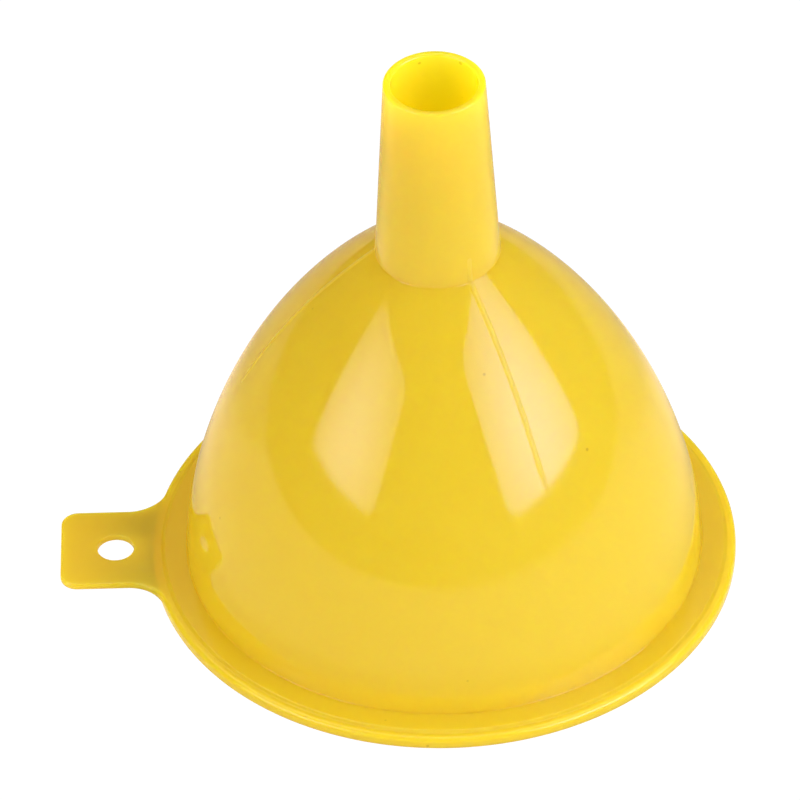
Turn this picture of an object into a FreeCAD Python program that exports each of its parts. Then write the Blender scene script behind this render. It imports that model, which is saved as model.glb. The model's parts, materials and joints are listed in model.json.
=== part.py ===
"""One-piece plastic funnel, standing mouth down with its spout up.

The origin is the centre of the mouth, on the plane that the rim stands on. +Z runs along the
funnel's axis towards the spout's tip, and the hanging tab points along -X. The sheet "Sizes"
holds every driving dimension, in millimetres and degrees.
"""
import FreeCAD, Part
import math
import os

import Sketcher

SIZES = {
    # rim: an outer bead that the funnel stands on, and a flange stepped up inside it
    "rim_radius": 60.0,
    "bead_inner_radius": 57.8,
    "bead_height": 2.6,
    "bead_top_round": 1.0,
    "bead_foot_round": 0.4,
    "flange_bottom": 1.7,
    "flange_top": 3.0,
    "flange_fillet": 0.6,
    "mouth_round": 1.2,
    # bowl: a collar with a little draft, a shoulder arc, then a long arc up to the spout
    "wall": 1.5,
    "collar_radius": 53.17,
    "collar_draft": 4.0,
    "collar_top": 8.2,
    "shoulder_arc": 60.0,
    "bowl_arc": 115.0,
    "bowl_foot": 17.0,
    # spout: a straight taper
    "junction_radius": 12.55,
    "junction_height": 80.9,
    "bore_foot_drop": 0.65,
    "tip_radius": 10.13,
    "tip_height": 123.2,
    "tip_round": 0.5,
    # hanging tab
    "tab_end": 79.0,
    "tab_width": 22.3,
    "tab_bottom": 1.1,
    "tab_corner": 3.5,
    "tab_blend": 7.9,
    "tab_edge_round": 0.4,
    "hole_offset": 67.7,
    "hole_diameter": 7.5,
    # air ribs: thin fins that stand on the spout's foot and the upper bowl
    "rib_width": 1.0,
    "rib_height": 0.55,
    "rib_round": 0.2,
    "rib_root": 1.0,
    "rib_fade": 3.0,
    "rib_foot": 47.5,
    "rib_top": 86.9,
}
RIB_AZIMUTHS = {"air_rib_left": 180.0, "air_rib_front": -60.0, "air_rib_back": 60.0}

# Places that several outlines share, as expressions of the sheet
FLANGE_JOIN = "(Sizes.flange_top + Sizes.flange_fillet)"
COLLAR_AT_TOP = "(Sizes.collar_radius - Sizes.collar_top * tan(Sizes.collar_draft * 1deg))"
COLLAR_AT_JOIN = f"(Sizes.collar_radius - {FLANGE_JOIN} * tan(Sizes.collar_draft * 1deg))"
WALL_ACROSS = "(Sizes.wall / cos(Sizes.collar_draft * 1deg))"
TAPER = "((Sizes.junction_radius - Sizes.tip_radius) / (Sizes.tip_height - Sizes.junction_height))"
BORE_RADIUS = "(Sizes.junction_radius - Sizes.wall)"
SHOULDER_TURN = math.radians(12.5)  # the solver's first guess at where the shoulder arc ends
MATCH = 1e-4  # how near an edge must be to a size, in millimetres, to be taken as that edge
CLEAR_OF_BEAD = 0.5  # edges with their middle this far outside the bead are the tab's free edges


def add_sheet(doc):
    sheet = doc.addObject("Spreadsheet::Sheet", "Sizes")
    for row, (alias, value) in enumerate(SIZES.items(), start=1):
        sheet.set(f"A{row}", alias)
        sheet.set(f"B{row}", str(value))
        sheet.setAlias(f"B{row}", alias)
    doc.recompute()


def add_body(doc, label):
    body = doc.addObject("PartDesign::Body", label)
    body.Label = label
    return body


def origin_part(body, role):
    return next(item for item in body.Origin.OriginFeatures if item.Role == role)


def add_sketch(body, name, plane="XZ_Plane"):
    sketch = body.newObject("Sketcher::SketchObject", name)
    sketch.AttachmentSupport = (origin_part(body, plane), "")
    sketch.MapMode = "FlatFace"
    return sketch


def number(sketch, expression):
    return float(sketch.evalExpression(expression))


def corner_point(sketch, across, up):
    return FreeCAD.Vector(number(sketch, across), number(sketch, up), 0)


def bind(sketch, constraint, expression):
    """Adds a dimension and ties it to the sheet."""
    index = sketch.addConstraint(constraint)
    sketch.renameConstraint(index, f"size_{index}")
    sketch.setExpression(f"Constraints.size_{index}", expression)


def place(sketch, geometry, point, across, up):
    """Ties a point of a sketch to its distances from the sketch's origin."""
    for kind, expression in (("DistanceX", across), ("DistanceY", up)):
        value = number(sketch, expression)
        bind(sketch, Sketcher.Constraint(kind, -1, 1, geometry, point, value), expression)


def arc_between(start, end, radius, turn):
    """An arc from start to end: turn is +1 if it goes anticlockwise, -1 if clockwise."""
    first, last = (start, end) if turn > 0 else (end, start)
    chord = last - first
    reach = math.sqrt(radius ** 2 - chord.Length ** 2 / 4)
    centre = (first + last) / 2 + FreeCAD.Vector(-chord.y, chord.x, 0).normalize() * reach
    angles = [math.atan2(p.y - centre.y, p.x - centre.x) for p in (first, last)]
    return Part.ArcOfCircle(Part.Circle(centre, FreeCAD.Vector(0, 0, 1), radius), *angles)


def draw_outline(sketch, corners, arcs=None):
    """Draws a closed outline through corners, each a pair of expressions.

    The side that leaves corner i is straight unless arcs[i] gives its radius and turn."""
    arcs = arcs or {}
    points = [corner_point(sketch, across, up) for across, up in corners]
    ends = []
    for i, start in enumerate(points):
        end = points[(i + 1) % len(points)]
        if i in arcs:
            radius, turn = arcs[i]
            side = sketch.addGeometry(arc_between(start, end, number(sketch, radius), turn))
            bind(sketch, Sketcher.Constraint("Radius", side, number(sketch, radius)), radius)
        else:
            turn = 1
            side = sketch.addGeometry(Part.LineSegment(start, end))
        ends.append((side, 1, 2) if turn > 0 else (side, 2, 1))
    for i, (side, start, _) in enumerate(ends):
        before, _, finish = ends[i - 1]
        sketch.addConstraint(Sketcher.Constraint("Coincident", before, finish, side, start))
        place(sketch, side, start, *corners[i])


def draw_wall_line(sketch, inset, top_radius, top_height):
    """Draws the bowl's outer face in section, or its inner face if inset is the wall.

    The collar's line runs tangent into the shoulder's arc, and that into the bowl's long arc,
    which ends at top_radius and top_height. Gives the three pieces, from the foot up."""
    foot_radius = f"({COLLAR_AT_JOIN} - {inset} / cos(Sizes.collar_draft * 1deg))"
    collar = (f"({COLLAR_AT_TOP} - {inset} * cos(Sizes.collar_draft * 1deg))",
              f"(Sizes.collar_top - {inset} * sin(Sizes.collar_draft * 1deg))")
    shoulder_radius = f"(Sizes.shoulder_arc - {inset})"
    bowl_radius = f"(Sizes.bowl_arc - {inset})"

    foot = corner_point(sketch, foot_radius, FLANGE_JOIN)
    start = corner_point(sketch, *collar)
    top = corner_point(sketch, top_radius, top_height)
    draft = math.radians(SIZES["collar_draft"])
    before = FreeCAD.Vector(math.cos(draft), math.sin(draft), 0)
    after = FreeCAD.Vector(math.cos(SHOULDER_TURN), math.sin(SHOULDER_TURN), 0)
    bend = start + (after - before) * number(sketch, shoulder_radius)

    line = sketch.addGeometry(Part.LineSegment(foot, start))
    shoulder = sketch.addGeometry(arc_between(start, bend, number(sketch, shoulder_radius), 1))
    bowl = sketch.addGeometry(arc_between(bend, top, number(sketch, bowl_radius), 1))
    place(sketch, line, 1, foot_radius, FLANGE_JOIN)
    place(sketch, line, 2, *collar)
    place(sketch, bowl, 2, top_radius, top_height)
    sketch.addConstraint(Sketcher.Constraint("Tangent", line, 2, shoulder, 1))
    sketch.addConstraint(Sketcher.Constraint("Tangent", shoulder, 2, bowl, 1))
    for arc, radius in ((shoulder, shoulder_radius), (bowl, bowl_radius)):
        bind(sketch, Sketcher.Constraint("Radius", arc, number(sketch, radius)), radius)
    return line, shoulder, bowl


def draw_dome(sketch, inset, top_radius, top_height, crown):
    """Closes a wall line to the axis, through the corners in crown and across the flange's level."""
    foot_line, _, side = draw_wall_line(sketch, inset, top_radius, top_height)
    previous = corner_point(sketch, top_radius, top_height)
    for across, up in crown + [("0", FLANGE_JOIN)]:
        corner = corner_point(sketch, across, up)
        line = sketch.addGeometry(Part.LineSegment(previous, corner))
        sketch.addConstraint(Sketcher.Constraint("Coincident", side, 2, line, 1))
        place(sketch, line, 2, across, up)
        side = line
        previous = corner
    foot = sketch.getPoint(foot_line, 1)
    base = sketch.addGeometry(Part.LineSegment(previous, foot))
    sketch.addConstraint(Sketcher.Constraint("Coincident", side, 2, base, 1))
    sketch.addConstraint(Sketcher.Constraint("Coincident", base, 2, foot_line, 1))


def draw_bowl_solid(sketch):
    draw_dome(sketch, "0", "Sizes.junction_radius", "Sizes.junction_height",
              [("0", "Sizes.junction_height")])


def draw_bowl_hollow(sketch):
    bore_foot = "(Sizes.junction_height - Sizes.bore_foot_drop)"
    draw_dome(sketch, "Sizes.wall", f"({BORE_RADIUS} + Sizes.bore_foot_drop * {TAPER})", bore_foot,
              [(BORE_RADIUS, "Sizes.junction_height"), ("0", "Sizes.junction_height")])


def turn_about_axis(body, kind, name, sketch):
    """Adds a full Revolution or Groove of a sketch about the funnel's axis."""
    feature = body.newObject(kind, name)
    feature.Profile = sketch
    feature.ReferenceAxis = (sketch, ["V_Axis"])
    feature.Angle = 360.0
    body.Document.recompute()
    return feature


def round_edges(body, name, radius, chosen):
    """Fillets the edges of the body's last feature that chosen picks."""
    tip = body.Tip
    edges = [f"Edge{i}" for i, edge in enumerate(tip.Shape.Edges, start=1) if chosen(edge)]
    fillet = body.newObject("PartDesign::Fillet", name)
    fillet.Base = (tip, edges)
    fillet.setExpression("Radius", radius)
    body.Document.recompute()
    return fillet


def is_ring(edge, radius, height):
    """Whether an edge is a circle about the funnel's axis, of that radius at that height."""
    if not isinstance(edge.Curve, Part.Circle):
        return False
    centre = edge.Curve.Center
    level = abs(centre.z - height) < MATCH and math.hypot(centre.x, centre.y) < MATCH
    return level and abs(edge.Curve.Radius - radius) < MATCH


def make_spout(doc):
    body = add_body(doc, "spout")
    sketch = add_sketch(body, "spout_wall")
    draw_outline(sketch, [(BORE_RADIUS, "Sizes.junction_height"),
                          ("Sizes.junction_radius", "Sizes.junction_height"),
                          ("Sizes.tip_radius", "Sizes.tip_height"),
                          ("(Sizes.tip_radius - Sizes.wall)", "Sizes.tip_height")])
    turn_about_axis(body, "PartDesign::Revolution", "spout_tube", sketch)
    lip_radii = (SIZES["tip_radius"], SIZES["tip_radius"] - SIZES["wall"])
    round_edges(body, "tip_rounding", "Sizes.tip_round",
                lambda edge: any(is_ring(edge, radius, SIZES["tip_height"]) for radius in lip_radii))
    return body


def make_wall(doc, label, cut_from, cut_to):
    """The wall from the flange to the spout, with the stretch between two heights cut away."""
    body = add_body(doc, label)
    outside = add_sketch(body, f"{label}_outside")
    draw_bowl_solid(outside)
    turn_about_axis(body, "PartDesign::Revolution", f"{label}_solid", outside)
    inside = add_sketch(body, f"{label}_inside")
    draw_bowl_hollow(inside)
    turn_about_axis(body, "PartDesign::Groove", f"{label}_hollow", inside)
    stretch = add_sketch(body, f"{label}_stretch")
    draw_outline(stretch, [("0", cut_from), ("Sizes.rim_radius", cut_from),
                           ("Sizes.rim_radius", cut_to), ("0", cut_to)])
    turn_about_axis(body, "PartDesign::Groove", f"{label}_cut", stretch)
    return body


def make_bowl(doc):
    return make_wall(doc, "bowl", FLANGE_JOIN, "Sizes.bowl_foot")


def make_collar(doc):
    return make_wall(doc, "collar", "Sizes.bowl_foot", "Sizes.junction_height")


def make_rim_flange(doc):
    body = add_body(doc, "rim_flange")
    sketch = add_sketch(body, "flange_section")
    inner_at_join = f"({COLLAR_AT_JOIN} - {WALL_ACROSS})"
    lip_height = "(Sizes.flange_bottom + Sizes.mouth_round)"
    inner_at_lip = f"(Sizes.collar_radius - {lip_height} * tan(Sizes.collar_draft * 1deg) - {WALL_ACROSS})"
    corners = [(f"({inner_at_lip} + Sizes.mouth_round)", "Sizes.flange_bottom"),
               ("Sizes.bead_inner_radius", "Sizes.flange_bottom"),
               ("Sizes.bead_inner_radius", "Sizes.flange_top"),
               (f"({COLLAR_AT_JOIN} + Sizes.flange_fillet)", "Sizes.flange_top"),
               (COLLAR_AT_JOIN, FLANGE_JOIN),
               (inner_at_join, FLANGE_JOIN),
               (inner_at_lip, lip_height)]
    draw_outline(sketch, corners, {3: ("Sizes.flange_fillet", -1), 6: ("Sizes.mouth_round", 1)})
    turn_about_axis(body, "PartDesign::Revolution", "flange_ring", sketch)
    return body


def tab_points():
    """Corners of the tab's outline seen from above, and the arcs between them, as expressions.

    The blends touch the tab's straight sides and the bead's outer circle, and the root is an arc
    on the inner edge of the bead's rounding."""
    root = "(Sizes.rim_radius - Sizes.bead_top_round)"
    half = "(Sizes.tab_width / 2)"
    reach = "(Sizes.rim_radius + Sizes.tab_blend)"
    blend_y = f"({half} + Sizes.tab_blend)"
    blend_x = f"sqrt({reach} * {reach} - {blend_y} * {blend_y})"
    front = [(f"(-{blend_x} / {reach} * {root})", f"(-{blend_y} / {reach} * {root})"),
             (f"(-{blend_x} / {reach} * Sizes.rim_radius)", f"(-{blend_y} / {reach} * Sizes.rim_radius)"),
             (f"(-{blend_x})", f"(-{half})"),
             ("(Sizes.tab_corner - Sizes.tab_end)", f"(-{half})"),
             ("(-Sizes.tab_end)", f"(Sizes.tab_corner - {half})")]
    back = [(across, f"(-{up})") for across, up in reversed(front)]
    arcs = {1: ("Sizes.tab_blend", 1), 3: ("Sizes.tab_corner", -1), 5: ("Sizes.tab_corner", -1),
            7: ("Sizes.tab_blend", 1), 9: (root, 1)}
    return front + back, arcs


def make_plate(body, name, kind, sketch, bottom, height):
    """Adds a Pad or Pocket of a plan outline that starts above the table plane."""
    sketch.setExpression("AttachmentOffset.Base.z", bottom)
    feature = body.newObject(kind, name)
    feature.Profile = sketch
    feature.setExpression("Length", height)
    feature.Reversed = kind == "PartDesign::Pocket"
    body.Document.recompute()
    return feature


def make_hang_tab(doc):
    body = add_body(doc, "hang_tab")
    outline = add_sketch(body, "tab_outline", "XY_Plane")
    draw_outline(outline, *tab_points())
    thickness = "Sizes.bead_height - Sizes.tab_bottom"
    make_plate(body, "tab_plate", "PartDesign::Pad", outline, "Sizes.tab_bottom", thickness)
    outside = SIZES["rim_radius"] + CLEAR_OF_BEAD
    round_edges(body, "tab_rounding", "Sizes.tab_edge_round",
                lambda edge: edge.BoundBox.ZLength < MATCH
                and math.hypot(edge.CenterOfMass.x, edge.CenterOfMass.y) > outside)
    hole = add_sketch(body, "hole_outline", "XY_Plane")
    circle = Part.Circle(FreeCAD.Vector(-SIZES["hole_offset"], 0, 0), FreeCAD.Vector(0, 0, 1),
                         SIZES["hole_diameter"] / 2)
    hole.addGeometry(circle)
    place(hole, 0, 3, "(-Sizes.hole_offset)", "0")
    bind(hole, Sketcher.Constraint("Diameter", 0, SIZES["hole_diameter"]), "Sizes.hole_diameter")
    make_plate(body, "hanging_hole", "PartDesign::Pocket", hole, "0", "Sizes.rim_radius")
    return body


def make_rim_bead(doc):
    body = add_body(doc, "rim_bead")
    sketch = add_sketch(body, "bead_section")
    draw_outline(sketch, [("Sizes.bead_inner_radius", "0"), ("Sizes.rim_radius", "0"),
                          ("Sizes.rim_radius", "Sizes.bead_height"),
                          ("Sizes.bead_inner_radius", "Sizes.bead_height")])
    turn_about_axis(body, "PartDesign::Revolution", "bead_ring", sketch)
    rim = SIZES["rim_radius"]
    round_edges(body, "bead_top_rounding", "Sizes.bead_top_round",
                lambda edge: is_ring(edge, rim, SIZES["bead_height"]))
    round_edges(body, "bead_foot_rounding", "Sizes.bead_foot_round",
                lambda edge: is_ring(edge, rim, 0) or is_ring(edge, SIZES["bead_inner_radius"], 0))
    seat = add_sketch(body, "tab_seat", "XY_Plane")
    draw_outline(seat, *tab_points())
    make_plate(body, "tab_socket", "PartDesign::Pocket", seat, "Sizes.tab_bottom", "Sizes.rim_radius")
    return body


def draw_rib(sketch):
    """Draws one fin's side view, its lower edge a little inside the wall that it stands on."""
    crest_radius = "(Sizes.bowl_arc + Sizes.rib_height)"
    wall_line = draw_wall_line(sketch, "0", "Sizes.junction_radius", "Sizes.junction_height")
    for piece in wall_line:
        sketch.setConstruction(piece, True)
    bowl = wall_line[-1]
    centre = sketch.getPoint(bowl, 3)

    def at_height(radius, height):
        return FreeCAD.Vector(centre.x + math.sqrt(radius ** 2 - (height - centre.y) ** 2), height, 0)

    def at_radius(radius, across):
        return FreeCAD.Vector(across, centre.y + math.sqrt(radius ** 2 - (across - centre.x) ** 2), 0)

    fade = "(Sizes.rib_foot + Sizes.rib_fade)"
    top = (f"(Sizes.junction_radius - (Sizes.rib_top - Sizes.junction_height) * {TAPER})", "Sizes.rib_top")
    top_root = (f"({top[0]} - Sizes.rib_root)", "Sizes.rib_top")
    corner_root = ("(Sizes.junction_radius - Sizes.rib_root)", "(Sizes.junction_height - Sizes.rib_root)")
    crest_across = "(Sizes.junction_radius + Sizes.rib_height)"

    foot = at_height(number(sketch, "Sizes.bowl_arc"), number(sketch, "Sizes.rib_foot"))
    foot_root = foot - FreeCAD.Vector(number(sketch, "Sizes.rib_root"), 0, 0)
    crest_foot = at_height(number(sketch, crest_radius), number(sketch, fade))
    crest_top = at_radius(number(sketch, crest_radius), number(sketch, crest_across))
    corners = [foot, crest_foot, crest_top, corner_point(sketch, *top), corner_point(sketch, *top_root),
               corner_point(sketch, *corner_root), foot_root]
    sides = []
    for i, start in enumerate(corners):
        end = corners[(i + 1) % len(corners)]
        if start is crest_foot:
            shape = arc_between(start, end, number(sketch, crest_radius), 1)
        else:
            shape = Part.LineSegment(start, end)
        sides.append(sketch.addGeometry(shape))
    fade_side, crest, spout_side, top_side, inner_side, root_side, foot_side = sides
    for i, side in enumerate(sides):
        sketch.addConstraint(Sketcher.Constraint("Coincident", sides[i - 1], 2, side, 1))
    sketch.addConstraint(Sketcher.Constraint("Coincident", crest, 3, bowl, 3))
    bind(sketch, Sketcher.Constraint("Radius", crest, number(sketch, crest_radius)), crest_radius)
    sketch.addConstraint(Sketcher.Constraint("PointOnObject", fade_side, 1, bowl))
    for kind, side, point, expression in (("DistanceY", fade_side, 1, "Sizes.rib_foot"),
                                          ("DistanceY", crest, 1, fade),
                                          ("DistanceX", crest, 2, crest_across)):
        bind(sketch, Sketcher.Constraint(kind, -1, 1, side, point, number(sketch, expression)), expression)
    place(sketch, top_side, 1, *top)
    place(sketch, inner_side, 1, *top_root)
    place(sketch, root_side, 1, *corner_root)
    sketch.addConstraint(Sketcher.Constraint("Horizontal", foot_side))
    bind(sketch, Sketcher.Constraint("DistanceX", foot_side, 1, foot_side, 2,
                                     number(sketch, "Sizes.rib_root")), "Sizes.rib_root")


def make_air_rib(doc, label, azimuth):
    """One fin: a plate across the wall, cut back to the spout's and the bowl's outer faces."""
    body = add_body(doc, label)
    profile = add_sketch(body, f"{label}_profile")
    draw_rib(profile)
    fin = body.newObject("PartDesign::Pad", f"{label}_fin")
    fin.Profile = profile
    fin.SideType = "Symmetric"
    fin.setExpression("Length", "Sizes.rib_width")
    doc.recompute()
    round_edges(body, f"{label}_rounding", "Sizes.rib_round",
                lambda edge: isinstance(edge.Curve, Part.Circle) and edge.Curve.Radius > SIZES["bowl_arc"])
    bowl_face = add_sketch(body, f"{label}_bowl_face")
    draw_bowl_solid(bowl_face)
    turn_about_axis(body, "PartDesign::Groove", f"{label}_bowl_cut", bowl_face)
    spout_face = add_sketch(body, f"{label}_spout_face")
    draw_outline(spout_face, [("0", "Sizes.junction_height"),
                              ("Sizes.junction_radius", "Sizes.junction_height"),
                              ("Sizes.tip_radius", "Sizes.tip_height"),
                              ("0", "Sizes.tip_height")])
    turn_about_axis(body, "PartDesign::Groove", f"{label}_spout_cut", spout_face)
    turn = FreeCAD.Rotation(FreeCAD.Vector(0, 0, 1), azimuth)
    body.Placement = FreeCAD.Placement(FreeCAD.Vector(0, 0, 0), turn)
    return body


def check(doc, parts):
    for item in doc.Objects:
        if "Invalid" in item.State or "Error" in item.State:
            raise RuntimeError(f"{item.Name} failed: {item.State}")
    for part in parts:
        if part.Shape.isNull() or not part.Shape.isValid() or not part.Shape.Solids:
            raise RuntimeError(f"{part.Label} has no valid solid")


def main():
    doc = FreeCAD.newDocument("funnel")
    add_sheet(doc)
    parts = [make_spout(doc), make_bowl(doc), make_collar(doc), make_rim_flange(doc), make_rim_bead(doc),
             make_hang_tab(doc)]
    parts += [make_air_rib(doc, label, azimuth) for label, azimuth in RIB_AZIMUTHS.items()]
    doc.recompute()
    check(doc, parts)
    os.makedirs("parts", exist_ok=True)
    for part in parts:
        part.Shape.exportStep(f"parts/{part.Label}.step")
        box = part.Shape.BoundBox
        print(f"{part.Label}: {part.Shape.Volume:.1f} mm3, z {box.ZMin:.2f} to {box.ZMax:.2f}")


main()
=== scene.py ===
import json
import math
from collections import namedtuple

import bmesh
import bpy
from mathutils import Matrix, Vector
from mathutils.geometry import tessellate_polygon


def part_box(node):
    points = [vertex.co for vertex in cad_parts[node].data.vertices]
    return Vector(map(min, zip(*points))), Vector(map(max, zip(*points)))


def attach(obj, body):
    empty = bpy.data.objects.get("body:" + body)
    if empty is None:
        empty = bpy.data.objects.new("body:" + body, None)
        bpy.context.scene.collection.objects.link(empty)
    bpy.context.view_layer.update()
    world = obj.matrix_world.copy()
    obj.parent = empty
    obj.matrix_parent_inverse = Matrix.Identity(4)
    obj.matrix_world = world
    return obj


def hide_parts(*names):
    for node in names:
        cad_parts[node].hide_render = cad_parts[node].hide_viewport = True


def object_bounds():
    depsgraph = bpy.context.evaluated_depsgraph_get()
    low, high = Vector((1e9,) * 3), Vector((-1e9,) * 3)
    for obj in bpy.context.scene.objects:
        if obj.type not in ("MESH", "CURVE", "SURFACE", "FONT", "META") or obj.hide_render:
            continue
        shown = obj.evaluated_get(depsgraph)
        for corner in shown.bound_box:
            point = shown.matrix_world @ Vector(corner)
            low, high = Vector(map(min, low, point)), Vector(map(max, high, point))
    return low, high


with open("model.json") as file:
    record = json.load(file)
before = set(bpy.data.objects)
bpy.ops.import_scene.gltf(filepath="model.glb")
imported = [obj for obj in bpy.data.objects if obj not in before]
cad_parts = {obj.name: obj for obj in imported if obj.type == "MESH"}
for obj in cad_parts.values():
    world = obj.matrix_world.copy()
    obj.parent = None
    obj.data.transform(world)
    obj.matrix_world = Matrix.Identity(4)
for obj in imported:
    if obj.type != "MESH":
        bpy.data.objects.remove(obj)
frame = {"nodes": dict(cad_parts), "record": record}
CAD_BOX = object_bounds()

# The funnel is one moulding, so its skin is one closed mesh that stands for every CAD node.
# Lengths are in millimetres and angles in radians, unless a name or a comment says otherwise.
MM = 0.001


def low(node):
    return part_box(node)[0] / MM


def high(node):
    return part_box(node)[1] / MM


def mount(name):
    return next(m for m in frame["record"]["mounts"] if m["name"] == name)


# Sizes that the frame gives
RIM_RADIUS = high("rim_bead").x
BEAD_INNER = high("rim_flange").x
BEAD_TOP = high("rim_bead").z
FLANGE_BOTTOM = low("rim_flange").z
COLLAR_FOOT = low("collar").z
COLLAR_RADIUS = high("collar").x
JUNCTION = Vector((high("spout").x, low("spout").z))
TIP_HEIGHT = high("spout").z
TAB_END = -low("hang_tab").x
TAB_BOTTOM = low("hang_tab").z
HOLE_X = mount("hang_hole")["pos_m"][0] / MM
HOLE_RADIUS = mount("hang_hole")["dims"]["r_mm"]
RIBS = sorted(name for name in frame["nodes"] if "rib" in name)
RIB_FOOT = low(RIBS[0]).z
RIB_TOP = high(RIBS[0]).z

# Sizes of the section's lines and arcs. The step from flange to bead is a soft slope, from STEP_IN inside
# BEAD_INNER to STEP_OUT outside it. FLANGE_FILLET places the flange's top, and FILLET_ROUND rounds it.
WALL = 1.5
DRAFT = math.radians(4)
COLLAR_TOP = 8.2
SHOULDER_ARC = 60.0
BOWL_ARC = 115.0
TIP_RADIUS = 10.13
BORE_DROP = 0.65
FLANGE_FILLET = 0.6
MOUTH_ROUND = 1.2
BEAD_ROUND = 1.0
FOOT_ROUND = 0.4
TIP_ROUND = 0.5
STEP_OUT = 0.45
STEP_IN = 0.25
STEP_ROUND = 0.5
FILLET_ROUND = 0.3
GROOVE_ROUND = 0.3
JUNCTION_ROUND = 0.5
BORE_ROUND = 0.4

# The tab, seen from above
TAB_HALF = 11.15
TAB_CORNER = 3.5
TAB_BLEND = 7.9
TAB_ROUND = 0.45
HOLE_ROUND = 0.3

# The air ribs, low and soft, each with a zone of closer columns around it. Inside BORE_CLEAR the columns
# keep the azimuths that they have there, so that they don't cross in the bore.
RIB_HEIGHT = 0.13
RIB_FADE = 3.0
CORNER_LIFT = 0.48
CORNER_REACH = 4.0
RIB_CREST_HALF = 0.06
RIB_ROOT_HALF = 0.70
RIB_ZONE = math.radians(14)
RIB_ZONE_HALF = 0.75
RIB_STEPS = 9
FAN_STEPS = 10
BORE_CLEAR = 12.0

# How finely the skin is divided
COLUMN_TURN = math.radians(1.25)
FILLET_STEPS = 5
ROUND_STEPS = 6
FLANGE_STEPS = 3
COLLAR_STEPS = 3
SHOULDER_STEPS = 8
BOWL_STEPS = 64
SPOUT_FOOT_STEPS = 8
SPOUT_STEPS = 12
BORE_STEPS = 14
INNER_BOWL_STEPS = 44
INNER_SHOULDER_STEPS = 6
INNER_COLLAR_STEPS = 4
MOUTH_STEPS = 6
UNDERSIDE_STEPS = 2
BLEND_STEPS = 26
CORNER_STEPS = 12
SIDE_STEPS = 4
HOLE_STEPS = 64
TINY = 1e-6

# Where long lines and arcs stop short of the rounding after them: the arcs by so many of its radii,
# and the lines at that share of their length
BOWL_STOP = 1.2
BORE_STOP = 2.0
SPOUT_SHARE = 0.97
BORE_SHARE = 0.95

# The tab's edge rounding reaches its full size well before the end of the blend
BLEND_RATE = 1.6

# How far round the bead the tab's blends start, from the tab's middle
TAB_TURN = math.asin((TAB_HALF + TAB_BLEND) / (RIM_RADIUS + TAB_BLEND))


def smooth(t):
    t = min(1.0, max(0.0, t))
    return t * t * (3 - 2 * t)


def polar(angle, radius=1.0):
    return Vector((math.cos(angle), math.sin(angle))) * radius


class Section:
    """A line in the plane of radius and height: rows of a place and the heading there."""

    def __init__(self, start, heading):
        self.rows = [(Vector(start), heading)]

    def line(self, end, steps=1):
        start = self.rows[-1][0]
        way = Vector(end) - start
        heading = math.atan2(way.y, way.x)
        self.rows += [(start + way * k / steps, heading) for k in range(1, steps + 1)]

    def arc(self, centre, radius, first, last, steps):
        side = math.copysign(math.pi / 2, last - first)
        for k in range(1, steps + 1):
            angle = first + (last - first) * k / steps
            self.rows.append((Vector(centre) + polar(angle, radius), angle + side))

    def corner(self, corner, after, radius, steps=FILLET_STEPS, runs=1):
        """Heads straight for corner and turns there on an arc, to head for after."""
        corner = Vector(corner)
        come = (corner - self.rows[-1][0]).normalized()
        leave = (Vector(after) - corner).normalized()
        turn = math.atan2(come.x * leave.y - come.y * leave.x, come.dot(leave))
        start = corner - come * radius * math.tan(abs(turn) / 2)
        side = math.copysign(1, turn)
        centre = start + Vector((-come.y, come.x)) * radius * side
        self.line(start, runs)
        first = math.atan2(start.y - centre.y, start.x - centre.x)
        self.arc(centre, radius, first, first + turn, steps)


def wall_arcs(inset, top):
    """The shoulder's and the bowl's arcs as (centre, radius, first angle, last angle).

    The shoulder leaves the collar's straight line, and the bowl's arc ends at top."""
    shoulder_radius = SHOULDER_ARC - inset
    bowl_radius = BOWL_ARC - inset
    collar_at_top = COLLAR_RADIUS - (COLLAR_TOP - COLLAR_FOOT) * math.tan(DRAFT)
    shoulder_centre = Vector((collar_at_top, COLLAR_TOP)) - polar(DRAFT, SHOULDER_ARC)
    reach = top - shoulder_centre
    apart = bowl_radius - shoulder_radius
    cosine = (apart ** 2 + reach.length ** 2 - bowl_radius ** 2) / (2 * apart * reach.length)
    bend = math.atan2(reach.y, reach.x) + math.acos(cosine) - math.pi
    bowl_centre = shoulder_centre - polar(bend, apart)
    rise = top - bowl_centre
    last = math.atan2(rise.y, rise.x)
    return (shoulder_centre, shoulder_radius, DRAFT, bend), (bowl_centre, bowl_radius, bend, last)


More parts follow.
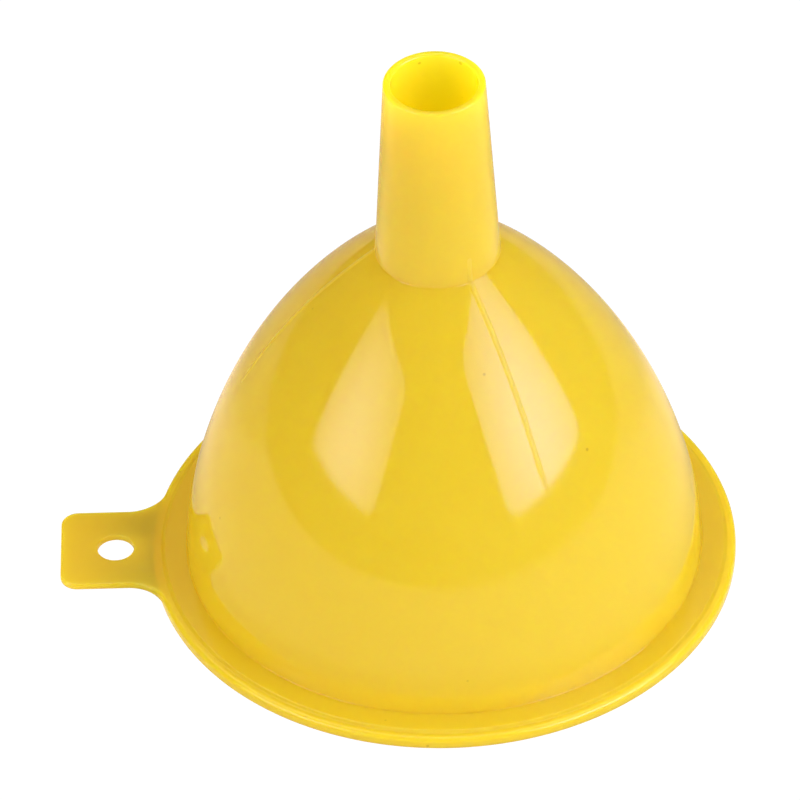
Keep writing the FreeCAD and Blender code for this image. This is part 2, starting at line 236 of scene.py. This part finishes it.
def outer_section():
    """From the bead's top over the flange, up the bowl and the spout to the tip's middle."""
    flange_top = COLLAR_FOOT - FLANGE_FILLET
    section = Section((BEAD_INNER + 2 * STEP_OUT, BEAD_TOP), math.pi)
    step_top = (BEAD_INNER - STEP_IN, flange_top)
    section.corner((BEAD_INNER + STEP_OUT, BEAD_TOP), step_top, STEP_ROUND)
    section.corner(step_top, (COLLAR_RADIUS, flange_top), STEP_ROUND)
    flange_end = (COLLAR_RADIUS + FLANGE_FILLET * math.tan(DRAFT), flange_top)
    section.corner(flange_end, (COLLAR_RADIUS, COLLAR_FOOT), FILLET_ROUND, runs=FLANGE_STEPS)
    shoulder, bowl = wall_arcs(0, JUNCTION)
    section.line(shoulder[0] + polar(DRAFT, shoulder[1]), COLLAR_STEPS)
    section.arc(*shoulder, SHOULDER_STEPS)
    centre, radius, first, last = bowl
    section.arc(centre, radius, first, last - BOWL_STOP * JUNCTION_ROUND / radius, BOWL_STEPS)
    tip = Vector((TIP_RADIUS, TIP_HEIGHT))
    section.corner(JUNCTION, tip, JUNCTION_ROUND)
    rib_end = JUNCTION.lerp(tip, (RIB_TOP - JUNCTION.y) / (TIP_HEIGHT - JUNCTION.y))
    section.line(rib_end, SPOUT_FOOT_STEPS)
    section.line(rib_end.lerp(tip, SPOUT_SHARE), SPOUT_STEPS)
    section.corner(tip, (TIP_RADIUS - WALL, TIP_HEIGHT), TIP_ROUND)
    return section


def inner_section(start):
    """On from the tip, down the bore, inside the bowl and round the flange's foot to the bead's wall."""
    section = Section(*start)
    taper = (JUNCTION.x - TIP_RADIUS) / (TIP_HEIGHT - JUNCTION.y)
    bore_foot = Vector((JUNCTION.x - WALL + BORE_DROP * taper, JUNCTION.y - BORE_DROP))
    shoulder, bowl = wall_arcs(WALL, bore_foot)
    centre, radius, first, last = bowl
    section.corner((TIP_RADIUS - WALL, TIP_HEIGHT), bore_foot, TIP_ROUND)
    start_angle = last - BORE_STOP * BORE_ROUND / radius
    section.line(section.rows[-1][0].lerp(bore_foot, BORE_SHARE), BORE_STEPS)
    section.corner(bore_foot, centre + polar(start_angle, radius), BORE_ROUND)
    section.line(centre + polar(start_angle, radius))
    section.arc(centre, radius, start_angle, first, INNER_BOWL_STEPS)
    section.arc(shoulder[0], shoulder[1], shoulder[3], shoulder[2], INNER_SHOULDER_STEPS)
    lip_height = FLANGE_BOTTOM + MOUTH_ROUND
    lip = COLLAR_RADIUS + (COLLAR_FOOT - lip_height) * math.tan(DRAFT) - WALL / math.cos(DRAFT)
    section.line((lip, lip_height), INNER_COLLAR_STEPS)
    section.arc((lip + MOUTH_ROUND, lip_height), MOUTH_ROUND, math.pi, 1.5 * math.pi, MOUTH_STEPS)
    section.corner((BEAD_INNER, FLANGE_BOTTOM), (BEAD_INNER, 0), GROOVE_ROUND, runs=UNDERSIDE_STEPS)
    section.corner((BEAD_INNER, 0), (RIM_RADIUS, 0), FOOT_ROUND)
    section.corner((RIM_RADIUS, 0), (RIM_RADIUS, TAB_BOTTOM), FOOT_ROUND)
    section.line((RIM_RADIUS, TAB_BOTTOM))
    return section


def rib_push(place, heading):
    """How far the section's line moves out on the crest of an air rib, as (radius, height).

    Near the spout's foot the push turns, so that the crest rounds the corner as the wall does."""
    if not RIB_FOOT < place.y < RIB_TOP:
        return Vector((0, 0))
    corner_push = Vector((RIB_HEIGHT, RIB_HEIGHT * CORNER_LIFT))
    if place.y >= JUNCTION.y - JUNCTION_ROUND / 2:
        return corner_push * min(1, (RIB_TOP - place.y) / (RIB_TOP - JUNCTION.y))
    normal = Vector((math.sin(heading), -math.cos(heading)))
    push = normal * RIB_HEIGHT * smooth((place.y - RIB_FOOT) / RIB_FADE)
    near = (place.y - JUNCTION.y + CORNER_REACH) / (CORNER_REACH - JUNCTION_ROUND)
    return push.lerp(corner_push, smooth(near))


Column = namedtuple("Column", "centre side offset share rise")


def rib_columns(centre):
    """Columns across one air rib: parallel to it in the middle, and fanned out on both sides."""
    found = []
    for k in range(-RIB_STEPS - FAN_STEPS, RIB_STEPS + FAN_STEPS + 1):
        side = 1 if k > 0 else -1
        offset = RIB_ZONE_HALF * min(1, abs(k) / RIB_STEPS)
        share = max(0, abs(k) - RIB_STEPS) / (FAN_STEPS + 1)
        rise = 1 - smooth((offset - RIB_CREST_HALF) / (RIB_ROOT_HALF - RIB_CREST_HALF))
        found.append(Column(centre, side, offset, share, rise))
    return found


def plain_columns(start, end):
    """Evenly spaced columns from start up to end, without end."""
    steps = max(1, round((end - start) / COLUMN_TURN))
    return [Column(start + (end - start) * k / steps, 1, 0, 0, 0) for k in range(steps)]


def columns():
    """The skin's columns all round from one end of the tab, and the number of the tab's other end."""
    start = math.pi - TAB_TURN
    tab_end = math.pi + TAB_TURN
    middles = [(low(name) + high(name)) / 2 for name in RIBS]
    centres = sorted((math.atan2(m.y, m.x) - start) % math.tau + start for m in middles)
    found = []
    reached = start
    for centre in centres:
        found += plain_columns(reached, centre - RIB_ZONE + COLUMN_TURN / 2)
        found += rib_columns(centre)
        reached = centre + RIB_ZONE
        if centre < tab_end:
            found += plain_columns(reached, tab_end)
            reached = tab_end
            tab_last = len(found)
    found += plain_columns(reached, start + math.tau)
    return found, tab_last


def azimuth_at(column, radius):
    near = math.asin(column.offset / max(radius, BORE_CLEAR))
    return column.centre + column.side * (near + column.share * (RIB_ZONE - near))


def tab_outline():
    """The tab's free edge from one blend to the other: (place, normal outwards, share).

    Share is 0 where a blend leaves the bead's circle, and 1 on the tab itself."""
    blend_centre = polar(math.pi - TAB_TURN, RIM_RADIUS + TAB_BLEND)
    corner_centre = Vector((TAB_CORNER - TAB_END, TAB_HALF - TAB_CORNER))
    half = []
    for k in range(BLEND_STEPS + 1):
        way = polar(-TAB_TURN + (TAB_TURN - math.pi / 2) * k / BLEND_STEPS)
        half.append((blend_centre + way * TAB_BLEND, -way, smooth(BLEND_RATE * k / BLEND_STEPS)))
    for k in range(1, SIDE_STEPS):
        side_x = blend_centre.x + (corner_centre.x - blend_centre.x) * k / SIDE_STEPS
        half.append((Vector((side_x, TAB_HALF)), Vector((0, 1)), 1))
    for k in range(CORNER_STEPS + 1):
        way = polar(math.pi / 2 * (1 + k / CORNER_STEPS))
        half.append((corner_centre + way * TAB_CORNER, way, 1))
    for k in range(1, SIDE_STEPS):
        half.append((Vector((-TAB_END, corner_centre.y * (1 - k / SIDE_STEPS))), Vector((-1, 0)), 1))
    middle = [(Vector((-TAB_END, 0)), Vector((-1, 0)), 1)]
    mirrored = [(Vector((p.x, -p.y)), Vector((n.x, -n.y)), share) for p, n, share in reversed(half)]
    return half + middle + mirrored


class Skin:
    """Points in millimetres with their normals, and faces. A point made twice is one vertex.

    On_ribs gives how much a vertex on an air rib belongs to it, up to 1 on the crest."""

    def __init__(self):
        self.points = []
        self.normals = []
        self.faces = []
        self.on_ribs = {}
        self.found = {}

    def point(self, place, normal):
        key = tuple(round(c, 4) + 0.0 for c in place)
        if key not in self.found:
            self.found[key] = len(self.points)
            self.points.append(Vector(place))
            self.normals.append(Vector(normal))
        return self.found[key]

    def face(self, corners):
        kept = [corner for i, corner in enumerate(corners) if corner != corners[i - 1]]
        if len(kept) > 2:
            self.faces.append(kept)

    def strip(self, first, second):
        """Joins two rows of points that run side by side."""
        for i in range(len(first) - 1):
            self.face([first[i], first[i + 1], second[i + 1], second[i]])

    def fill(self, outer, hole):
        """Fills a flat outline around a hole, both given as vertex numbers."""
        loops = [[self.points[i] for i in loop] for loop in (outer, hole)]
        numbers = outer + hole
        for triangle in tessellate_polygon(loops):
            self.face([numbers[i] for i in triangle])


def turned_point(skin, column, place, heading, push):
    """The vertex where a row of the section crosses a column, pushed out on an air rib."""
    azimuth = azimuth_at(column, place.x)
    ray = polar(azimuth)
    normal = (*(ray * math.sin(heading)), -math.cos(heading))
    moved = place + push * column.rise
    index = skin.point((*(ray * moved.x), moved.y), normal)
    if column.rise and push.length > TINY:
        skin.on_ribs[index] = column.rise
    return index


def turned_rows(skin, around, rows, pushed=False):
    made = []
    for place, heading in rows:
        push = rib_push(place, heading) if pushed else Vector((0, 0))
        made.append([turned_point(skin, column, place, heading, push) for column in around])
    return made


def edge_points(skin, place, normal, foot_round, top_round):
    """Vertices up the tab's edge at one place of its outline, from its foot to its top."""
    found = []
    foot = (TAB_BOTTOM + foot_round, foot_round, -math.pi / 2, FILLET_STEPS)
    top = (BEAD_TOP - top_round, top_round, 0, ROUND_STEPS)
    for centre_z, radius, first, steps in (foot, top):
        for k in range(steps + 1):
            angle = first + math.pi / 2 * k / steps
            at = place - normal * radius * (1 - math.cos(angle))
            height = centre_z + radius * math.sin(angle)
            found.append(skin.point((*at, height), (*(normal * math.cos(angle)), math.sin(angle))))
    return found


def build_tab(skin, top_row, wall_row):
    """The tab, between the flat top of the bead and the bead's outer wall."""
    edge = []
    for place, normal, share in tab_outline():
        top_round = BEAD_ROUND + (TAB_ROUND - BEAD_ROUND) * share
        edge.append(edge_points(skin, place, normal, TAB_ROUND * share, top_round))
    centre = Vector((HOLE_X, 0))
    ways = [-polar(math.tau * k / HOLE_STEPS) for k in range(HOLE_STEPS)]
    hole = [edge_points(skin, centre - way * HOLE_RADIUS, way, HOLE_ROUND, HOLE_ROUND) for way in ways]
    for points, closing in ((edge, []), (hole, hole[:1])):
        ring = points + closing
        for first, second in zip(ring, ring[1:]):
            skin.strip(first, second)
    for number, root in ((-1, top_row), (0, wall_row)):
        outline = [points[number] for points in edge]
        skin.fill(outline + root[-2:0:-1], [points[number] for points in hole])


def build_skin():
    skin = Skin()
    around, tab_last = columns()
    outer = outer_section().rows
    inner = inner_section(outer[-1]).rows
    rows = turned_rows(skin, around, outer, pushed=True) + turned_rows(skin, around, inner[1:])
    top_edge = RIM_RADIUS - BEAD_ROUND
    top = turned_rows(skin, around, [(Vector((top_edge, BEAD_TOP)), math.pi)])
    for first, second in list(zip(rows, rows[1:])) + list(zip(top, rows)):
        skin.strip(first + first[:1], second + second[:1])

    rounding = Section((RIM_RADIUS, TAB_BOTTOM), math.pi / 2)
    rounding.line((RIM_RADIUS, BEAD_TOP - BEAD_ROUND))
    rounding.arc((top_edge, BEAD_TOP - BEAD_ROUND), BEAD_ROUND, 0, math.pi / 2, ROUND_STEPS)
    free = turned_rows(skin, around[tab_last:] + around[:1], rounding.rows)
    for first, second in zip(free, free[1:]):
        skin.strip(first, second)
    build_tab(skin, top[0][:tab_last + 1], rows[-1][:tab_last + 1])
    return skin


def make_funnel():
    skin = build_skin()
    mesh = bpy.data.meshes.new("funnel_moulding")
    mesh.from_pydata([point * MM for point in skin.points], [], skin.faces)
    shape = bmesh.new()
    shape.from_mesh(mesh)
    bmesh.ops.recalc_face_normals(shape, faces=shape.faces)
    shape.to_mesh(mesh)
    shape.free()
    mesh.shade_smooth()
    normals = [mesh.vertices[i].normal if i in skin.on_ribs else normal.normalized()
               for i, normal in enumerate(skin.normals)]
    mesh.normals_split_custom_set_from_vertices(normals)
    ribs = mesh.attributes.new("rib", "FLOAT", "POINT")
    ribs.data.foreach_set("value", [skin.on_ribs.get(i, 0.0) for i in range(len(skin.points))])
    funnel = bpy.data.objects.new("funnel_moulding", mesh)
    bpy.context.scene.collection.objects.link(funnel)
    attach(funnel, "root")
    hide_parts(*sorted(frame["nodes"]))
    return funnel


def node(tree, kind, **inputs):
    """Adds a shader node and sets its inputs and properties by name."""
    made = tree.nodes.new(kind)
    for name, value in inputs.items():
        socket = made.inputs.get(name.replace("_", " "))
        if socket is None:
            setattr(made, name, value)
        elif isinstance(value, bpy.types.NodeSocket):
            tree.links.new(value, socket)
        else:
            socket.default_value = value
    return made


def ramp(tree, value, start, end, first=0.0, last=1.0, kind="LINEAR"):
    """Where value lies between start and end, as a number between first and last."""
    made = node(tree, "ShaderNodeMapRange", Value=value, From_Min=start, From_Max=end,
                To_Min=first, To_Max=last, interpolation_type=kind)
    return made.outputs["Result"]


# The plastic: colours as red, green and blue, scales in features per metre, and depths in metres.
# SPECK_SIZE is a share of the specks' spacing, SPECK_SHARE how far a speck turns to SPECK_COLOR, and
# RIB_EDGE how much of a rib a vertex needs for the full matt finish.
BASE_DEEP = (0.925, 0.478, 0.026)
BASE_PALE = (0.940, 0.498, 0.032)
CLOUD_SCALE = 28.0
SPECK_COLOR = (0.45, 0.12, 0.01)
SPECK_SCALE = 85.0
SPECK_SIZE = 0.045
SPECK_SHARE = 0.45
HAZE_SCALE = 17.0
HAZE_LOW = 0.3
HAZE_HIGH = 0.7
ROUGHNESS_LOW = 0.07
ROUGHNESS_HIGH = 0.13
RIB_ROUGHNESS = 0.45
RIB_EDGE = 0.4
WAVE_SCALE = 42.0
WAVE_STRETCH = (1.0, 1.0, 0.3)
WAVE_DEPTH = 0.00006
GRAIN_SCALE = 900.0
GRAIN_DEPTH = 0.0000010
PLASTIC_IOR = 1.49
LIGHT_DEPTH = 0.03
LIGHT_RADIUS = (1.0, 0.6, 0.12)


def plastic():
    """Glossy yellow plastic that lets light in, with clouds, specks, flow waves and matt ribs."""
    material = bpy.data.materials.new("yellow_plastic")
    material.use_nodes = True
    tree = material.node_tree
    shader = tree.nodes["Principled BSDF"]
    place = node(tree, "ShaderNodeTexCoord").outputs["Object"]

    clouds = node(tree, "ShaderNodeTexNoise", Vector=place, Scale=CLOUD_SCALE, Detail=3.0).outputs["Fac"]
    tint = node(tree, "ShaderNodeMix", data_type="RGBA", Factor=clouds)
    tint.inputs["A"].default_value = (*BASE_DEEP, 1)
    tint.inputs["B"].default_value = (*BASE_PALE, 1)
    dots = node(tree, "ShaderNodeTexVoronoi", Vector=place, Scale=SPECK_SCALE)
    speck = ramp(tree, dots.outputs["Distance"], SPECK_SIZE / 2, SPECK_SIZE,
                 SPECK_SHARE, 0.0, "SMOOTHSTEP")
    body = node(tree, "ShaderNodeMix", data_type="RGBA", Factor=speck)
    tree.links.new(tint.outputs["Result"], body.inputs["A"])
    body.inputs["B"].default_value = (*SPECK_COLOR, 1)
    tree.links.new(body.outputs["Result"], shader.inputs["Base Color"])

    haze = node(tree, "ShaderNodeTexNoise", Vector=place, Scale=HAZE_SCALE, Detail=4.0).outputs["Fac"]
    gloss = ramp(tree, haze, HAZE_LOW, HAZE_HIGH, ROUGHNESS_LOW, ROUGHNESS_HIGH)
    rib = node(tree, "ShaderNodeAttribute", attribute_name="rib").outputs["Fac"]
    finish = node(tree, "ShaderNodeMix", data_type="FLOAT", Factor=ramp(tree, rib, 0.0, RIB_EDGE))
    tree.links.new(gloss, finish.inputs["A"])
    finish.inputs["B"].default_value = RIB_ROUGHNESS
    tree.links.new(finish.outputs["Result"], shader.inputs["Roughness"])

    stretch = node(tree, "ShaderNodeMapping", Vector=place, Scale=WAVE_STRETCH).outputs["Vector"]
    waves = node(tree, "ShaderNodeTexNoise", Vector=stretch, Scale=WAVE_SCALE, Detail=1.0).outputs["Fac"]
    grain = node(tree, "ShaderNodeTexNoise", Vector=place, Scale=GRAIN_SCALE, Detail=2.0).outputs["Fac"]
    flow = node(tree, "ShaderNodeBump", Height=waves, Distance=WAVE_DEPTH, Strength=1.0).outputs["Normal"]
    skin = node(tree, "ShaderNodeBump", Height=grain, Distance=GRAIN_DEPTH, Strength=1.0, Normal=flow)
    tree.links.new(skin.outputs["Normal"], shader.inputs["Normal"])

    shader.inputs["IOR"].default_value = PLASTIC_IOR
    shader.inputs["Subsurface Weight"].default_value = 1.0
    shader.inputs["Subsurface Radius"].default_value = LIGHT_RADIUS
    shader.inputs["Subsurface Scale"].default_value = LIGHT_DEPTH
    return material


# The stage, in metres. The table's light on the plastic fades around the rim, and its reflection fades
# in a ring just outside the rim and towards the back, in place of shadows.
TABLE_RADIUS = 0.70
TABLE_GAP = 0.0002
DISC_SEGMENTS = 96
SHADE_START = 0.062
SHADE_END = 0.095
SHADE_DEPTH = 0.4
BACK_START = 0.062
BACK_END = 0.095
BACK_DEPTH = 0.45
RING_START = 0.0605
RING_FULL = 0.0625
RING_END = 0.085
RING_DEPTH = 0.5

# The room: its fill light fades upwards and is gone at CEILING, the sine of an elevation. The backdrop
# is a pale patch high behind the funnel, between two cosines of the angle from its middle.
CEILING = 0.6
BACKDROP_ELEVATION = 72.0
BACKDROP_EDGE = 0.83
BACKDROP_CORE = 0.97

# A panel's brightness falls from PANEL_MIDDLE to PANEL_EDGE over PANEL_REACH of its half width. It starts
# PANEL_BRIGHT of its half height over its middle, and PANEL_SQUARE near 0 gives it square corners.
PANEL_MIDDLE = 1.3
PANEL_EDGE = 0.35
PANEL_REACH = 1.45
PANEL_BRIGHT = -0.4
PANEL_SQUARE = 0.19

# How bright things are, each as red, green and blue
TABLE_SEEN = (1.05, 1.05, 1.05)
TABLE_SHINE = (1.15, 0.92, 0.64)
TABLE_FILL = (1.0, 0.59, 0.38)
ROOM_SHINE = (0.15, 0.12, 0.06)
BACKDROP_SHINE = (1.7, 1.7, 1.7)
ROOM_FILL_LEFT = (2.15, 2.30, 1.25)
ROOM_FILL_RIGHT = (1.22, 1.96, 1.25)
BLACK = (0.0, 0.0, 0.0)

# The lamps, placed in degrees as direction() counts them, with their size at LAMP_REACH
Lamp = namedtuple("Lamp", "azimuth elevation roll width height color")
LEFT_PANEL = Lamp(azimuth=-56.0, elevation=26.2, roll=-2.0, width=0.812, height=0.58,
                  color=(3.3, 2.95, 3.3))
RIGHT_PANEL = Lamp(azimuth=57.8, elevation=30.0, roll=0.0, width=1.04, height=0.76,
                   color=(3.2, 3.3, 5.6))
LEFT_SOFTBOX = Lamp(azimuth=-57.0, elevation=27.0, roll=0.0, width=0.86, height=0.6,
                    color=(4.8, 4.2, 3.0))
RIGHT_SOFTBOX = Lamp(azimuth=57.3, elevation=30.7, roll=0.0, width=1.1, height=0.78,
                     color=(7.2, 5.55, 4.5))
LAMP_REACH = 1.0
LAMP_AIM = 0.04


def glow(tree, color, kind="ShaderNodeEmission"):
    """A light shader of that red, green and blue."""
    return node(tree, kind, Color=(*color, 1), Strength=1.0).outputs[0]


def choose(tree, factor, first, second):
    mix = node(tree, "ShaderNodeMixShader", Fac=factor)
    tree.links.new(first, mix.inputs[1])
    tree.links.new(second, mix.inputs[2])
    return mix.outputs[0]


def new_tree(owner):
    owner.use_nodes = True
    owner.node_tree.nodes.clear()
    return owner.node_tree


def add_flat(name, shape, material):
    mesh = bpy.data.meshes.new(name)
    shape.to_mesh(mesh)
    shape.free()
    mesh.materials.append(material)
    flat = bpy.data.objects.new(name, mesh)
    bpy.context.scene.collection.objects.link(flat)
    return flat


def make_table():
    """A round table that glows: plain white to the camera, and warmer in the gloss and on the plastic."""
    material = bpy.data.materials.new("white_table")
    tree = new_tree(material)
    path = node(tree, "ShaderNodeLightPath").outputs
    behind = node(tree, "ShaderNodeNewGeometry").outputs["Backfacing"]
    place = node(tree, "ShaderNodeTexCoord").outputs["Object"]
    distance = node(tree, "ShaderNodeVectorMath", operation="LENGTH")
    tree.links.new(place, distance.inputs[0])
    away = distance.outputs["Value"]
    toward_back = node(tree, "ShaderNodeSeparateXYZ", Vector=place).outputs["Y"]
    black = glow(tree, BLACK)
    shade = ramp(tree, away, SHADE_START, SHADE_END, SHADE_DEPTH, 0.0, "SMOOTHSTEP")
    fill = choose(tree, shade, glow(tree, TABLE_FILL), black)
    back = ramp(tree, toward_back, BACK_START, BACK_END, 0.0, BACK_DEPTH)
    shine = choose(tree, back, glow(tree, TABLE_SHINE), black)
    ring = ramp(tree, away, RING_FULL, RING_END, RING_DEPTH, 0.0, "SMOOTHSTEP")
    shine = choose(tree, ramp(tree, away, RING_START, RING_FULL), shine, choose(tree, ring, shine, black))
    light = choose(tree, path["Is Glossy Ray"], fill, shine)
    light = choose(tree, path["Is Camera Ray"], light, glow(tree, TABLE_SEEN))
    light = choose(tree, behind, light, node(tree, "ShaderNodeBsdfTransparent").outputs[0])
    node(tree, "ShaderNodeOutputMaterial", Surface=light)
    shape = bmesh.new()
    bmesh.ops.create_circle(shape, cap_ends=True, segments=DISC_SEGMENTS, radius=TABLE_RADIUS)
    table = add_flat("table_top", shape, material)
    table.location.z = CAD_BOX[0][2] - TABLE_GAP


def make_room():
    """A room that is white to the camera, and dark to the gloss but for a backdrop, with a fill light."""
    world = bpy.data.worlds.new("studio")
    bpy.context.scene.world = world
    tree = new_tree(world)
    kind = "ShaderNodeBackground"
    path = node(tree, "ShaderNodeLightPath").outputs
    generated = node(tree, "ShaderNodeTexCoord").outputs["Generated"]
    way = node(tree, "ShaderNodeSeparateXYZ", Vector=generated).outputs
    side = ramp(tree, way["X"], -1.0, 1.0)
    fill = choose(tree, side, glow(tree, ROOM_FILL_LEFT, kind), glow(tree, ROOM_FILL_RIGHT, kind))
    fill = choose(tree, ramp(tree, way["Z"], 0.0, CEILING), fill, glow(tree, BLACK, kind))
    toward = node(tree, "ShaderNodeVectorMath", operation="DOT_PRODUCT")
    tree.links.new(generated, toward.inputs[0])
    toward.inputs[1].default_value = direction(180, BACKDROP_ELEVATION)
    behind = ramp(tree, toward.outputs["Value"], BACKDROP_EDGE, BACKDROP_CORE, kind="SMOOTHSTEP")
    shine = choose(tree, behind, glow(tree, ROOM_SHINE, kind), glow(tree, BACKDROP_SHINE, kind))
    light = choose(tree, path["Is Glossy Ray"], fill, shine)
    light = choose(tree, path["Is Camera Ray"], light, glow(tree, TABLE_SEEN, kind))
    node(tree, "ShaderNodeOutputWorld", Surface=light)


def direction(azimuth, elevation):
    """The way to a place seen from the funnel, in degrees: azimuth 0 is the camera's side, 90 is +X."""
    turn = math.radians(azimuth)
    rise = math.radians(elevation)
    return Vector((math.sin(turn) * math.cos(rise), -math.cos(turn) * math.cos(rise), math.sin(rise)))


def looking(aim, azimuth, elevation, reach, roll):
    """A placement that looks at aim from a distance of reach."""
    away = direction(azimuth, elevation)
    turn = away.to_track_quat("Z", "Y").to_matrix().to_4x4()
    return Matrix.Translation(aim + away * reach) @ turn @ Matrix.Rotation(math.radians(roll), 4, "Z")


def lamp_place(lamp):
    return looking(Vector((0, 0, LAMP_AIM)), lamp.azimuth, lamp.elevation, LAMP_REACH, lamp.roll)


def add_panel(name, lamp):
    """A softbox's face as the gloss sees it, brightest a little below its middle."""
    half_width = lamp.width / 2
    half_height = lamp.height / 2
    material = bpy.data.materials.new(name)
    tree = new_tree(material)
    place = node(tree, "ShaderNodeTexCoord").outputs["Object"]
    distance = node(tree, "ShaderNodeVectorMath", operation="DISTANCE")
    tree.links.new(place, distance.inputs[0])
    distance.inputs[1].default_value = (0, PANEL_BRIGHT * half_height, 0)
    spread = ramp(tree, distance.outputs["Value"], 0.0, PANEL_REACH * half_width,
                  PANEL_MIDDLE, PANEL_EDGE, "SMOOTHSTEP")
    shine = node(tree, "ShaderNodeEmission", Color=(*lamp.color, 1), Strength=spread)
    node(tree, "ShaderNodeOutputMaterial", Surface=shine.outputs[0])
    shape = bmesh.new()
    bmesh.ops.create_circle(shape, cap_ends=True, segments=DISC_SEGMENTS, radius=1.0)
    for vert in shape.verts:
        along, up = (math.copysign(abs(c) ** PANEL_SQUARE, c) for c in vert.co.xy)
        vert.co = (along * half_width, up * half_height, 0)
    panel = add_flat(name, shape, material)
    panel.matrix_world = lamp_place(lamp)
    panel.visible_camera = False
    panel.visible_diffuse = False
    panel.visible_transmission = False
    panel.visible_shadow = False


def add_softbox(name, lamp):
    """A softbox's soft light on the plastic's body colour. The energy makes the colour its radiance."""
    light = bpy.data.lights.new(name, "AREA")
    light.shape = "RECTANGLE"
    light.size = lamp.width
    light.size_y = lamp.height
    light.energy = math.pi * lamp.width * lamp.height
    light.color = lamp.color
    box = bpy.data.objects.new(name, light)
    box.matrix_world = lamp_place(lamp)
    box.visible_camera = False
    box.visible_glossy = False
    bpy.context.scene.collection.objects.link(box)


def make_lights():
    add_panel("left_panel", LEFT_PANEL)
    add_panel("right_panel", RIGHT_PANEL)
    add_softbox("left_softbox", LEFT_SOFTBOX)
    add_softbox("right_softbox", RIGHT_SOFTBOX)


# The camera, with distances in metres, angles in degrees, and lens and sensor in millimetres
CAMERA_AIM = Vector((-8.35, -10.9, 50.34)) * MM
CAMERA_DISTANCE = 1.608
CAMERA_ELEVATION = 41.12
CAMERA_ROLL = -1.52
CAMERA_LENS = 360.0
CAMERA_SENSOR = 36.0
CAMERA_REACH = 20.0

# How often light may turn inside the thin glossy walls
MOST_BOUNCES = 32
BODY_BOUNCES = 24


def make_camera():
    lens = bpy.data.cameras.new("camera")
    lens.lens = CAMERA_LENS
    lens.sensor_width = CAMERA_SENSOR
    lens.clip_end = CAMERA_REACH
    camera = bpy.data.objects.new("camera", lens)
    camera.matrix_world = looking(CAMERA_AIM, 0, CAMERA_ELEVATION, CAMERA_DISTANCE, CAMERA_ROLL)
    bpy.context.scene.collection.objects.link(camera)
    bpy.context.scene.camera = camera


funnel = make_funnel()
funnel.data.materials.append(plastic())
make_table()
make_room()
make_lights()
make_camera()
bpy.context.scene.view_settings.view_transform = "Standard"
bpy.context.scene.view_settings.look = "None"
bpy.context.scene.cycles.max_bounces = MOST_BOUNCES
bpy.context.scene.cycles.diffuse_bounces = BODY_BOUNCES
